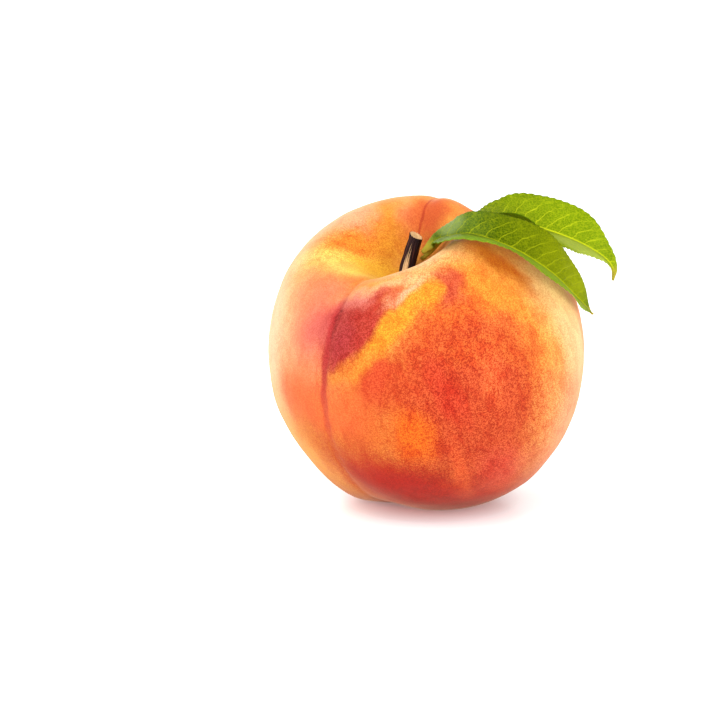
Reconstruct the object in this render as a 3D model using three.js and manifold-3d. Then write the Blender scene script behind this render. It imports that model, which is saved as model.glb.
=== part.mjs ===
// A ripe peach: the fruit with its stem cavity and suture, the woody stub of its stem, and two toothed leaves.
// Millimetres, +Z up. The origin is the centre of the small flat spot that the fruit rests on.
import * as THREE from "three";
import { mergeVertices } from "three/addons/utils/BufferGeometryUtils.js";
import Module from "manifold-3d";

const wasm = await Module();
wasm.setup();

// ---- Driving dimensions ----

const FRUIT_RADIUS = 39;
const FRUIT_CENTRE = new THREE.Vector3(-0.8, 0.6, 36.9);
const LEAN = 23; // degrees from upright to the stem axis
const LEAN_TOWARDS = -127; // degrees from +X, the compass direction that the stem axis leans to
const SUTURE_TURN = -4; // degrees about the stem axis from the lean direction to the suture
const REST_SOFTNESS = 0.6; // height over which the skin bends into the flat spot

// Lengths in the next four groups are shares of FRUIT_RADIUS.
const CAVITY = {
  depth: 0.41,
  offset: [-0.02, 0.035], // how far the bottom lies off the stem axis, away from the suture and across it
  width: 0.31, // where the walls are steepest, to the right of the suture
  power: 2.4,
  openWidth: 0.37, // where the cavity opens gently over the other lobe
  openPower: 2,
  openTurn: -60, // degrees from the suture to the middle of the open side
};
const BLOSSOM_DIMPLE = { depth: 0.05, width: 0.22 };
const SUTURE = {
  valley: 0.013, // depth of the broad valley at the equator
  valleyWidth: 0.19,
  shoulder: 0.055, // extra depth where the valley runs over the shoulder
  underside: 0.045, // extra depth where the valley turns under the fruit
  crease: 0.005, // depth of the fine crease in the valley
  creaseWidth: 0.03,
  shoulderCrease: 0.009,
  farSide: 0.022, // depth of the crease in the cavity wall opposite the suture
  farWidth: 0.06,
  farTurn: 11, // degrees that it lies past the point straight opposite
};

// Broad bulges and flats that make the fruit lopsided: where they are, how far they stand out, and how wide they are.
const SWELLINGS = [
  { compass: 160, elevation: 47, height: 0.034, spread: 28 },
  { compass: -18, elevation: -54, height: 0.025, spread: 26 },
  { compass: -153, elevation: -64, height: 0.045, spread: 14 },
  { compass: 40, elevation: 58, height: -0.07, spread: 15 },
  { compass: -10, elevation: 69, height: -0.094, spread: 13 },
  { compass: -80, elevation: 56, height: 0.045, spread: 12 },
  { compass: 0, elevation: 0, height: -0.01, spread: 25 },
  { compass: 20, elevation: 80, height: 0.014, spread: 9 },
];

const FRUIT_RINGS = 46; // rings from the stem cavity to the blossom end
const FRUIT_SIDES = 64;
const SUTURE_CLUSTER = 0.7; // 0 spaces the sides evenly, 1 crowds them onto the suture

const STEM = {
  foot: [-6.1, -8.6, 57.8], // where the stem leaves the cavity floor
  bend: [-5.2, -7.6, 62.3],
  top: [-3.7, -6.1, 67.1],
  rootDepth: 5,
  rootRadius: 1.8,
  topRadius: 1.6,
  ridge: 0.06, // height of the bark's ridges as a share of the radius
  cutFall: [0.42, -0.35], // fall of the cut top along +X and along +Y, per millimetre
  sides: 16,
  rings: 12,
};
const SOCKET_CLEARANCE = 0.4;

const BLADE_THICKNESS = 0.64;
const TOOTH_PITCH = 1.5;
const TOOTH_HEIGHT = 0.35;
const PETIOLE_RADIUS = 0.6;
const RIB_DEPTH = 0.45; // how far the midrib stands out below the blade

// Each leaf's midrib runs through `route`, from the stem to the tip. `halfWidths`, `rolls` and `folds` are read at even
// steps along it. A roll in degrees turns the blade about its midrib, from lying flat over the fruit. A fold in degrees
// lifts each half of the blade.
const LEAVES = {
  leaf_front: {
    route: [
      [-2.1, -7.8, 63.5],
      [1.0, -10.9, 67.0],
      [4.5, -17.9, 69.3],
      [8.7, -21.3, 70.3],
      [14.5, -21.0, 68.5],
      [21.4, -19.0, 65.0],
      [28.5, -15.2, 59.6],
      [34.1, -8.9, 53.4],
      [39.4, -1.7, 47.0],
    ],
    halfWidths: [0.6, 2.1, 4.4, 5.9, 8, 8.6, 8.4, 7.4, 5.7, 3.2, 0.35],
    rolls: [60, 52, 30, -4, -10, -6, -2, 2, 5, 4, 0],
    folds: [26, 26, 26, 26, 26, 26, 26, 26, 26, 26, 26],
    wave: 0.3,
    petioleShare: 0.04,
  },
  leaf_back: {
    route: [
      [-2.3, -5.8, 61.5],
      [-0.3, -7.0, 63.5],
      [1.8, -8.3, 66.1],
      [4.0, -9.4, 69.0],
      [6.2, -9.8, 71.3],
      [8.4, -9.0, 72.2],
      [10.5, -7.4, 72.2],
      [12.9, -4.8, 71.8],
      [16.7, -0.9, 70.5],
      [21.3, 3.8, 68.8],
      [26.9, 8.0, 66.6],
      [35.6, 10.7, 63.0],
      [42.3, 10.5, 59.3],
      [45.1, 9.2, 56.3],
      [45.2, 7.5, 53.5],
    ],
    halfWidths: [0.6, 0.6, 0.9, 3.5, 6.7, 8.8, 9.5, 9.4, 7.8, 3.0, 0.5],
    rolls: [-20, -22, -25, -29, -23, -3, 20, 35, 46, 52, 55],
    folds: [10, 10, 10, 10, 10, 11, 15, 22, 26, 26, 26],
    wave: 0.3,
    petioleShare: 0.2,
  },
};

// ---- Shared helpers ----

const radians = THREE.MathUtils.degToRad;
const smoothstep = THREE.MathUtils.smoothstep;
const bell = (x, centre, width) => Math.exp(-(((x - centre) / width) ** 2));

// A closed geometry from its points and triangles, both as flat lists.
function meshGeometry(points, triangles) {
  const geometry = new THREE.BufferGeometry();
  geometry.setAttribute("position", new THREE.Float32BufferAttribute(points.flatMap((p) => p.toArray()), 3));
  geometry.setIndex(triangles);
  geometry.computeVertexNormals();
  return geometry;
}

// The triangles between rings of `sides` points each, with a fan to the pole point at each end.
// The rings' points come first in the list, then the start pole, then the end pole.
function ringTriangles(rings, sides) {
  const triangles = [];
  const startPole = rings * sides;
  const endPole = startPole + 1;
  for (let side = 0; side < sides; side++) {
    const next = (side + 1) % sides;
    triangles.push(startPole, side, next);
    for (let ring = 0; ring < rings - 1; ring++) {
      const near = ring * sides;
      const far = near + sides;
      triangles.push(near + side, far + side, far + next, near + side, far + next, near + next);
    }
    const last = (rings - 1) * sides;
    triangles.push(last + side, endPole, last + next);
  }
  return triangles;
}

function toManifold(geometry) {
  const bare = geometry.clone();
  bare.deleteAttribute("normal");
  bare.deleteAttribute("uv");
  const merged = mergeVertices(bare);
  return new wasm.Manifold(
    new wasm.Mesh({
      numProp: 3,
      vertProperties: merged.attributes.position.array,
      triVerts: new Uint32Array(merged.index.array),
    }),
  );
}

function fromManifold(solid) {
  const mesh = solid.getMesh();
  const geometry = new THREE.BufferGeometry();
  geometry.setAttribute("position", new THREE.Float32BufferAttribute(mesh.vertProperties, 3));
  geometry.setIndex(new THREE.BufferAttribute(mesh.triVerts, 1));
  geometry.computeVertexNormals();
  return geometry;
}

// ---- Fruit ----

// Turns the fruit's own frame, +Z along the stem axis and +X towards the suture, into the part's frame.
const fruitTurn = new THREE.Matrix4()
  .makeRotationZ(radians(LEAN_TOWARDS))
  .multiply(new THREE.Matrix4().makeRotationY(radians(LEAN)))
  .multiply(new THREE.Matrix4().makeRotationZ(radians(SUTURE_TURN)));
const fruitAxis = new THREE.Vector3(0, 0, 1).transformDirection(fruitTurn);

// Depth of the suture below the round skin, at a polar angle in degrees and a place (x, y) across the stem axis.
function sutureDepth(polar, x, y) {
  const fade = polar < 90 ? smoothstep(Math.abs(x), 0, 0.2) : smoothstep(Math.hypot(x, y), 0.15, 0.75);
  const onShoulder = bell(polar, 24, 22);
  if (x < 0) {
    const beside = y * Math.cos(radians(SUTURE.farTurn)) - x * Math.sin(radians(SUTURE.farTurn));
    return SUTURE.farSide * bell(polar, 22, 24) * bell(beside, 0, SUTURE.farWidth) * fade;
  }
  const valley = SUTURE.valley + SUTURE.shoulder * onShoulder + SUTURE.underside * bell(polar, 136, 13);
  const crease = SUTURE.crease + SUTURE.shoulderCrease * onShoulder;
  return fade * (valley * bell(y, 0, SUTURE.valleyWidth) + crease * bell(y, 0, SUTURE.creaseWidth));
}

// The directions of the swellings in the fruit's own frame.
const swellings = SWELLINGS.map(({ compass, elevation, height, spread }) => {
  const level = Math.cos(radians(elevation));
  const turn = radians(compass);
  const towards = new THREE.Vector3(level * Math.cos(turn), level * Math.sin(turn), Math.sin(radians(elevation)));
  return { towards: towards.transformDirection(fruitTurn.clone().invert()), height, spread: radians(spread) };
});

// A point on the skin in the fruit's own frame, in shares of FRUIT_RADIUS. Angles are in degrees.
function skinPoint(polar, azimuth) {
  const across = Math.sin(radians(polar));
  const turn = radians(azimuth);
  const outward = new THREE.Vector3(across * Math.cos(turn), across * Math.sin(turn), Math.cos(radians(polar)));
  const point = outward.clone();
  if (polar < 90) {
    const open = (0.5 + 0.5 * Math.cos(turn - radians(CAVITY.openTurn))) ** 2;
    const width = THREE.MathUtils.lerp(CAVITY.width, CAVITY.openWidth, open);
    const power = THREE.MathUtils.lerp(CAVITY.power, CAVITY.openPower, open);
    const fromPit = Math.hypot(outward.x - CAVITY.offset[0], outward.y - CAVITY.offset[1]);
    point.z -= CAVITY.depth * Math.exp(-((fromPit / width) ** power));
  } else {
    point.z += BLOSSOM_DIMPLE.depth * bell(across, 0, BLOSSOM_DIMPLE.width);
  }
  let rise = -sutureDepth(polar, outward.x, outward.y);
  for (const { towards, height, spread } of swellings) rise += height * bell(outward.angleTo(towards), 0, spread);
  return point.addScaledVector(outward, rise);
}

// Bends heights near zero smoothly into the flat spot, and leaves the rest alone.
function settle(height) {
  if (height >= REST_SOFTNESS) return height;
  if (height <= -REST_SOFTNESS) return 0;
  return (height + REST_SOFTNESS) ** 2 / (4 * REST_SOFTNESS);
}

function placedSkinPoint(polar, azimuth) {
  const point = skinPoint(polar, azimuth).multiplyScalar(FRUIT_RADIUS).applyMatrix4(fruitTurn).add(FRUIT_CENTRE);
  point.z = settle(point.z);
  return point;
}

function makeFruit(socket) {
  const points = [];
  for (let ring = 1; ring <= FRUIT_RINGS; ring++) {
    const polar = (180 * ring) / (FRUIT_RINGS + 1);
    for (let side = 0; side < FRUIT_SIDES; side++) {
      const turn = (2 * Math.PI * side) / FRUIT_SIDES;
      const azimuth = THREE.MathUtils.radToDeg(turn - SUTURE_CLUSTER * Math.sin(turn));
      points.push(placedSkinPoint(polar, azimuth));
    }
  }
  points.push(placedSkinPoint(0, 0), placedSkinPoint(180, 0));
  const skin = meshGeometry(points, ringTriangles(FRUIT_RINGS, FRUIT_SIDES));
  return fromManifold(toManifold(skin).subtract(toManifold(socket)));
}

// ---- Stem ----

const stemFoot = new THREE.Vector3(...STEM.foot);
const stemRoute = new THREE.CatmullRomCurve3([
  stemFoot.clone().addScaledVector(fruitAxis, -STEM.rootDepth),
  stemFoot,
  new THREE.Vector3(...STEM.bend),
  new THREE.Vector3(...STEM.top),
]);
stemRoute.curveType = "catmullrom";

function makeStem() {
  const frames = stemRoute.computeFrenetFrames(STEM.rings - 1);
  const points = [];
  for (let ring = 0; ring < STEM.rings; ring++) {
    const along = ring / (STEM.rings - 1);
    const centre = stemRoute.getPointAt(along);
    for (let side = 0; side < STEM.sides; side++) {
      const turn = (-2 * Math.PI * side) / STEM.sides;
      const ridge = STEM.ridge * Math.sin(3 * turn + 4 * along) * Math.cos(5 * turn);
      const radius = THREE.MathUtils.lerp(STEM.rootRadius, STEM.topRadius, along) * (1 + ridge);
      const point = centre
        .clone()
        .addScaledVector(frames.normals[ring], radius * Math.cos(turn))
        .addScaledVector(frames.binormals[ring], radius * Math.sin(turn));
      if (along === 1) {
        point.z = centre.z - STEM.cutFall[0] * (point.x - centre.x) - STEM.cutFall[1] * (point.y - centre.y);
      }
      points.push(point);
    }
  }
  points.push(stemRoute.getPointAt(0), stemRoute.getPointAt(1));
  return meshGeometry(points, ringTriangles(STEM.rings, STEM.sides));
}

// The plain hole that the stem's root stands in.
function makeSocket() {
  const radius = STEM.rootRadius * (1 + STEM.ridge) + SOCKET_CLEARANCE;
  const depth = STEM.rootDepth + SOCKET_CLEARANCE;
  const length = depth + 4;
  const socket = new THREE.CylinderGeometry(radius, radius, length, 20);
  const middle = stemFoot.clone().addScaledVector(fruitAxis, length / 2 - depth);
  const turn = new THREE.Quaternion().setFromUnitVectors(new THREE.Vector3(0, 1, 0), fruitAxis);
  return socket.applyQuaternion(turn).translate(middle.x, middle.y, middle.z);
}

// ---- Leaves ----

// Places across the blade, from the near margin at -1 over the midrib at 0 to the far margin at 1.
const ACROSS = [-1, -0.55, -0.14, 0, 0.14, 0.55, 1];

// A smooth value at a share of the way along a list of evenly spaced ones.
function readAlong(values, share) {
  const curve = new THREE.SplineCurve(values.map((value, i) => new THREE.Vector2(i, value)));
  return curve.getPoint(share).y;
}

// Shares of the midrib's length where the blade has a station: at each notch and at each tooth's tip.
function leafStations(leaf, length) {
  const bladeLength = (1 - leaf.petioleShare) * length;
  const teeth = Math.round(bladeLength / TOOTH_PITCH);
  const stations = [{ share: 0, tooth: 0 }];
  for (let tooth = 0; tooth < teeth; tooth++) {
    const notch = leaf.petioleShare + ((1 - leaf.petioleShare) * tooth) / teeth;
    stations.push({ share: notch, tooth: 0 });
    stations.push({ share: notch + (0.7 * (1 - leaf.petioleShare)) / teeth, tooth: 1 });
  }
  stations.push({ share: 1, tooth: 0 });
  return stations;
}

function makeLeaf(leaf) {
  const route = new THREE.CatmullRomCurve3(leaf.route.map((place) => new THREE.Vector3(...place)));
  route.curveType = "catmullrom";
  const stations = leafStations(leaf, route.getLength());
  const tops = [];
  const bottoms = [];
  for (const { share, tooth } of stations) {
    const place = route.getPointAt(share);
    const on = route.getTangentAt(share);
    const up = place.clone().sub(FRUIT_CENTRE).projectOnPlane(on).normalize();
    up.applyAxisAngle(on, radians(readAlong(leaf.rolls, share)));
    const far = new THREE.Vector3().crossVectors(up, on);

    const blade = smoothstep(share, leaf.petioleShare, leaf.petioleShare + 0.08);
    const outline = Math.max(readAlong(leaf.halfWidths, share), THREE.MathUtils.lerp(PETIOLE_RADIUS, 0.3, blade));
    const half = outline + TOOTH_HEIGHT * tooth * smoothstep(outline, 0.6, 3);
    const fold = radians(readAlong(leaf.folds, share)) * blade;
    for (const v of ACROSS) {
      const out = Math.abs(v);
      const lift = half * Math.sin(fold) * out * (1 + 0.3 * (1 - out));
      const wave = leaf.wave * blade * out * out * Math.sin(2 * Math.PI * (3.5 * share + 0.2 * v));
      const normal = up.clone().applyAxisAngle(on, fold * Math.sign(v));
      const middle = place
        .clone()
        .addScaledVector(far, v * half * Math.cos(fold))
        .addScaledVector(up, lift + wave);
      const round = PETIOLE_RADIUS * Math.sqrt(1 - (0.92 * v) ** 2);
      const rib = RIB_DEPTH * bell(v * half, 0, 0.8) * (1 - smoothstep(share, 0.3, 1));
      tops.push(middle.clone().addScaledVector(normal, THREE.MathUtils.lerp(round, BLADE_THICKNESS / 2, blade)));
      bottoms.push(
        middle.clone().addScaledVector(normal, -THREE.MathUtils.lerp(round, BLADE_THICKNESS / 2 + rib, blade)),
      );
    }
  }
  return meshGeometry([...tops, ...bottoms], bladeTriangles(stations.length, ACROSS.length));
}

// The triangles of a thin blade: a top and a bottom sheet split alike, and the wall round their margin.
function bladeTriangles(stations, columns) {
  const sheet = stations * columns;
  const triangles = [];
  for (let station = 0; station < stations - 1; station++) {
    for (let column = 0; column < columns - 1; column++) {
      const a = station * columns + column;
      const b = a + 1;
      const c = a + columns;
      const d = c + 1;
      triangles.push(a, c, d, a, d, b);
      triangles.push(sheet + a, sheet + d, sheet + c, sheet + a, sheet + b, sheet + d);
    }
  }
  const margin = [];
  for (let column = 0; column < columns; column++) margin.push(column);
  for (let station = 1; station < stations; station++) margin.push(station * columns + columns - 1);
  for (let column = columns - 2; column >= 0; column--) margin.push((stations - 1) * columns + column);
  for (let station = stations - 2; station > 0; station--) margin.push(station * columns);
  margin.forEach((a, i) => {
    const b = margin[(i + 1) % margin.length];
    triangles.push(a, b, sheet + b, a, sheet + b, sheet + a);
  });
  return triangles;
}

// ---- The peach ----

const FINISHES = {
  skin: new THREE.MeshStandardMaterial({ color: 0xef8437, roughness: 0.75, metalness: 0 }),
  bark: new THREE.MeshStandardMaterial({ color: 0x3a2118, roughness: 0.85, metalness: 0 }),
  leaf: new THREE.MeshStandardMaterial({ color: 0x6a9628, roughness: 0.5, metalness: 0 }),
  youngLeaf: new THREE.MeshStandardMaterial({ color: 0x9abe1f, roughness: 0.5, metalness: 0 }),
};

const peach = new THREE.Group();
function add(name, geometry, material) {
  const mesh = new THREE.Mesh(geometry, material);
  mesh.name = name;
  peach.add(mesh);
}

add("fruit", makeFruit(makeSocket()), FINISHES.skin);
add("stem", makeStem(), FINISHES.bark);
add("leaf_front", makeLeaf(LEAVES.leaf_front), FINISHES.leaf);
add("leaf_back", makeLeaf(LEAVES.leaf_back), FINISHES.youngLeaf);

export default peach;
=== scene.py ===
import math

import bpy
import numpy as np
from mathutils import Matrix, Vector, noise


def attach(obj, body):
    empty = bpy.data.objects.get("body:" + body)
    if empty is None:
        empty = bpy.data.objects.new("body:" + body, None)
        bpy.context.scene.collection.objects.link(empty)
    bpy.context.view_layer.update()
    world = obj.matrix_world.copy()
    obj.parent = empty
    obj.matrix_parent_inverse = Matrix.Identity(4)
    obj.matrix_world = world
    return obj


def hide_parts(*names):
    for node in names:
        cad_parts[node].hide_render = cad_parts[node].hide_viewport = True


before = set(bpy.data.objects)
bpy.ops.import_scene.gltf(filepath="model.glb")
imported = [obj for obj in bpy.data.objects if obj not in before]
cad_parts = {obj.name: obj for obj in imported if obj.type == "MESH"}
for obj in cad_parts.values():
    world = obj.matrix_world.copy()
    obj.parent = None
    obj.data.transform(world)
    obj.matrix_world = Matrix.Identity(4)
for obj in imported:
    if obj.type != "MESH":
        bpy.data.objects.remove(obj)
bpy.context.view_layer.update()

# A ripe peach with its stem and two leaves. Lengths are in millimetres on the part, and MM turns them to
# metres where a mesh or a pattern is made. Only the lamps are set out in metres.
MM = 0.001

# ---- Where the fruit, the stem and the leaves are, as in the solids ----

FRUIT_RADIUS = 39
FRUIT_CENTRE = np.array([-0.8, 0.6, 36.9])
LEAN = 23
LEAN_TOWARDS = -127
SUTURE_TURN = -4
REST_SOFTNESS = 0.6

# Depths and widths on the fruit are shares of its radius. Each "at" is a middle and a spread in degrees from
# the stem axis, and each "fade" is where the suture begins and where it is full.
CAVITY = {
    "depth": 0.41,
    "offset": (-0.02, 0.035),
    "width": 0.31,
    "power": 2.4,
    "open_width": 0.37,
    "open_power": 2,
}
CAVITY_OPEN_TURN = -60
BLOSSOM_DIMPLE = {"depth": 0.05, "width": 0.22}
SUTURE = {
    "valley": 0.013,
    "valley_width": 0.19,
    "shoulder": 0.055,
    "shoulder_at": (24, 22),
    "underside": 0.045,
    "underside_at": (136, 13),
    "crease": 0.005,
    "crease_width": 0.03,
    "shoulder_crease": 0.009,
    "far_side": 0.022,
    "far_side_at": (22, 24),
    "far_width": 0.06,
    "stem_fade": (0, 0.2),
    "blossom_fade": (0.15, 0.75),
}
FAR_LINE_TURN = math.radians(11)
# Compass and elevation in degrees, height as a share of the radius, spread in degrees.
SWELLINGS = [
    (160, 47, 0.034, 28),
    (-18, -54, 0.025, 26),
    (-153, -64, 0.045, 14),
    (40, 58, -0.07, 15),
    (-10, 69, -0.094, 13),
    (-80, 56, 0.045, 12),
    (0, 0, -0.01, 25),
    (20, 80, 0.014, 9),
]

STEM_FOOT = np.array([-6.1, -8.6, 57.8])
STEM_ROUTE = [STEM_FOOT, [-5.2, -7.6, 62.3], [-3.7, -6.1, 67.1]]
STEM_ROOT_DEPTH = 5
STEM_RADII = (1.8, 1.6)
STEM_CUT_FALL = (0.42, -0.35)  # how steeply the cut end falls along X and along Y
PEEL_SIDE = (0.35, 0.93, 0.0)  # where the bark has come away, across the stem

TOOTH_PITCH = 1.5
TOOTH_HEIGHT = 0.42
TOOTH_TOP = 0.72  # where on its pitch a tooth is highest
TOOTH_BULGE = 0.8
TOOTHED = (0.6, 3)  # half widths of the blade where the teeth begin and are full
PETIOLE_RADIUS = 0.6
LEAST_HALF = 0.3  # half width of the blade where it is narrowest
BLADE_BEGIN = 0.08  # share of the leaf's length over which the stalk turns to blade
BLADE_THICKNESS = 0.3
RIB_DEPTH = 0.45
RIB_WIDTH = 0.42
RIB_TAPER = 0.8  # how much of its depth the rib loses on the way to the tip
RIB_TAPER_FROM = 0.25

LEAF_FRONT = {
    "route": [
        (-2.1, -7.8, 63.5), (1.0, -10.9, 67.0), (4.5, -17.9, 69.3), (8.7, -21.3, 70.3), (14.5, -21.0, 68.5),
        (21.4, -19.0, 65.0), (28.5, -15.2, 59.6), (34.1, -8.9, 53.4), (39.4, -1.7, 47.0),
    ],
    "half_widths": [0.6, 2.1, 4.4, 5.9, 8, 8.6, 8.4, 7.4, 5.7, 3.2, 0.35],
    "rolls": [60, 52, 30, -4, -10, -6, -2, 2, 5, 4, 0],
    "folds": [26] * 11,
    "wave": 0.3,
    "petiole_share": 0.04,
    "seed": 3,
}
LEAF_BACK = {
    "route": [
        (-2.3, -5.8, 61.5), (-0.3, -7.0, 63.5), (1.8, -8.3, 66.1), (4.0, -9.4, 69.0), (6.2, -9.8, 71.3),
        (8.4, -9.0, 72.2), (10.5, -7.4, 72.2), (12.9, -4.8, 71.8), (16.7, -0.9, 70.5), (21.3, 3.8, 68.8),
        (26.9, 8.0, 66.6), (35.6, 10.7, 63.0), (42.3, 10.5, 59.3), (45.1, 9.2, 56.3), (45.2, 7.5, 53.5),
    ],
    "half_widths": [0.6, 0.6, 0.9, 3.5, 6.7, 8.8, 9.5, 9.4, 7.8, 3.0, 0.5],
    "rolls": [-20, -22, -25, -29, -23, -3, 20, 35, 46, 52, 55],
    "folds": [10, 10, 10, 10, 10, 11, 15, 22, 26, 26, 26],
    "wave": 0.3,
    "petiole_share": 0.2,
    "seed": 8,
}

# ---- Camera, first of all ----

EYE_ELEVATION = math.radians(13)
EYE_DISTANCE = 650
EYE_OFFSET = (-16.48, -1.97)  # how far the eye stands to the right of the fruit's centre and above it
LENS = 132.1
SENSOR_WIDTH = 36
NEAREST = 10  # the camera draws nothing nearer than this


def place_camera():
    right = Vector((1, 0, 0))
    up = Vector((0, math.sin(EYE_ELEVATION), math.cos(EYE_ELEVATION)))
    back = Vector((0, -math.cos(EYE_ELEVATION), math.sin(EYE_ELEVATION)))
    spot = Vector(FRUIT_CENTRE) + back * EYE_DISTANCE + right * EYE_OFFSET[0] + up * EYE_OFFSET[1]
    camera = bpy.data.objects.new("camera", bpy.data.cameras.new("camera"))
    bpy.context.scene.collection.objects.link(camera)
    camera.matrix_world = Matrix.Translation(spot * MM) @ Matrix((right, up, back)).transposed().to_4x4()
    camera.data.sensor_width = SENSOR_WIDTH
    camera.data.lens = LENS
    camera.data.clip_start = NEAREST * MM
    bpy.context.scene.camera = camera


place_camera()

# ---- Shared maths ----

ROUTE_STEPS = 400
EITHER_SIDE = 0.002  # how far either side of a place a route's direction is taken, as a share of its length


def bell(x, centre, width):
    return np.exp(-(((x - centre) / width) ** 2))


def smoothstep(x, low, high):
    t = np.clip((x - low) / (high - low), 0, 1)
    return t * t * (3 - 2 * t)


def lerp(a, b, t):
    return a + (b - a) * t


def turn_about(axis, degrees):
    return np.array(Matrix.Rotation(math.radians(degrees), 3, axis))


def unit(vectors):
    return vectors / np.linalg.norm(vectors, axis=-1, keepdims=True)


def catmull_rom(points, t, straight_ends=True):
    """Points on a smooth curve at t from 0 to 1."""
    points = np.asarray(points, float)
    first = 2 * points[0] - points[1] if straight_ends else points[0]
    last = 2 * points[-1] - points[-2] if straight_ends else points[-1]
    around = np.concatenate([[first], points, [last]])
    spot = np.clip(np.asarray(t, float), 0, 1) * (len(points) - 1)
    start = np.minimum(spot.astype(int), len(points) - 2)
    t = (spot - start).reshape(spot.shape + (1,) * (points.ndim - 1))
    before, here, after, beyond = (around[start + step] for step in range(4))
    leave = (after - before) / 2
    arrive = (beyond - here) / 2
    return (
        (2 * t**3 - 3 * t**2 + 1) * here + (t**3 - 2 * t**2 + t) * leave
        + (-2 * t**3 + 3 * t**2) * after + (t**3 - t**2) * arrive
    )


def read_along(values, share):
    return catmull_rom(values, share, straight_ends=False)


class Route:
    """A smooth line through points, read at shares of its length."""

    def __init__(self, points):
        self.points = points
        self.t = np.linspace(0, 1, ROUTE_STEPS + 1)
        steps = np.linalg.norm(np.diff(catmull_rom(points, self.t), axis=0), axis=1)
        self.reached = np.concatenate([[0], np.cumsum(steps)])
        self.length = self.reached[-1]

    def at(self, share):
        return catmull_rom(self.points, np.interp(np.asarray(share) * self.length, self.reached, self.t))

    def along(self, share):
        share = np.asarray(share, float)
        return unit(self.at(np.minimum(share + EITHER_SIDE, 1)) - self.at(np.maximum(share - EITHER_SIDE, 0)))


def rotate_about(vectors, axes, angles):
    """Each vector turned about its own unit axis by its own angle in radians."""
    cosine = np.cos(angles)[..., None]
    sine = np.sin(angles)[..., None]
    dot = np.sum(vectors * axes, axis=-1, keepdims=True)
    return vectors * cosine + np.cross(axes, vectors) * sine + axes * dot * (1 - cosine)


SEED_STEP = (17.3, 5.1, 9.7)  # how far apart in the noise two seeds that follow each other are


def rough(points, size, seed):
    """Smooth noise from -1 to 1 at each point, with features about `size` mm across."""
    shift = Vector(SEED_STEP) * seed
    values = [noise.noise(Vector(point) / size + shift) for point in points.reshape(-1, 3)]
    return np.array(values).reshape(points.shape[:-1])


def make_piece(name, points, faces, attributes):
    """A smooth mesh from points in millimetres. Each attribute holds a vector or a number for every point."""
    mesh = bpy.data.meshes.new(name)
    mesh.from_pydata((np.asarray(points, float) * MM).tolist(), [], faces)
    for key, values in attributes.items():
        values = np.asarray(values, np.float32)
        kind = "FLOAT_VECTOR" if values.ndim == 2 else "FLOAT"
        layer = mesh.attributes.new(key, kind, "POINT")
        layer.data.foreach_set("vector" if values.ndim == 2 else "value", values.ravel())
    mesh.shade_smooth()
    mesh.validate()
    piece = bpy.data.objects.new(name, mesh)
    bpy.context.scene.collection.objects.link(piece)
    return piece


def ring_faces(rings, sides):
    """Quads between rings, and fans to the two poles that follow the rings' points."""
    faces = []
    for side in range(sides):
        after = (side + 1) % sides
        faces.append((rings * sides, side, after))
        for ring in range(rings - 1):
            near = ring * sides
            far = near + sides
            faces.append((near + side, far + side, far + after, near + after))
        last = (rings - 1) * sides
        faces.append((last + side, rings * sides + 1, last + after))
    return faces


# ---- Fruit ----

SKIN_RINGS = 200
SKIN_SIDES = 260
SUTURE_CLUSTER = 0.7  # how far the points crowd towards the suture
# Soft unevenness of the flesh. Each one: height, size across, seed.
FLESH_LUMPS = [(0.22, 9, 1), (0.05, 2.6, 2)]
LOWEST_LUMPS = (0.3, 4)  # heights above the ground where the lumps begin and are full
# The puckers along the suture: height, half width as a share of the radius, and in degrees from the stem axis
# where they begin and are full, and where they fade and end.
PUCKER_RELIEF = 0.16
PUCKER_WIDTH = 0.035
PUCKER_BEGIN = (14, 26)
PUCKER_END = (95, 125)
PUCKER_STEPS = (1.4, 60, 0)  # noise in a degree along the suture, and in a radius across it
PUCKER_NOISE = (1.6, 4)  # size and seed

fruit_turn = turn_about("Z", LEAN_TOWARDS) @ turn_about("Y", LEAN) @ turn_about("Z", SUTURE_TURN)
fruit_axis = fruit_turn[:, 2]


def towards(polar, azimuth):
    """Unit direction in the fruit's own frame: +Z along the stem axis, +X to the suture. Degrees."""
    polar = np.radians(polar)
    azimuth = np.radians(azimuth)
    level = np.sin(polar)
    return np.stack([level * np.cos(azimuth), level * np.sin(azimuth), np.cos(polar) + 0 * azimuth], axis=-1)


def suture_depth(polar, x, y):
    """Depth as a share of the radius. It fades out at the stem axis and at the blossom end."""
    stem_fade = smoothstep(np.abs(x), *SUTURE["stem_fade"])
    fade = np.where(polar < 90, stem_fade, smoothstep(np.hypot(x, y), *SUTURE["blossom_fade"]))
    on_shoulder = bell(polar, *SUTURE["shoulder_at"])
    beneath = bell(polar, *SUTURE["underside_at"])
    beside = y * math.cos(FAR_LINE_TURN) - x * math.sin(FAR_LINE_TURN)
    far = SUTURE["far_side"] * bell(polar, *SUTURE["far_side_at"]) * bell(beside, 0, SUTURE["far_width"])
    valley = SUTURE["valley"] + SUTURE["shoulder"] * on_shoulder + SUTURE["underside"] * beneath
    crease = SUTURE["crease"] + SUTURE["shoulder_crease"] * on_shoulder
    near = valley * bell(y, 0, SUTURE["valley_width"]) + crease * bell(y, 0, SUTURE["crease_width"])
    return fade * np.where(x < 0, far, near)


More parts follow.
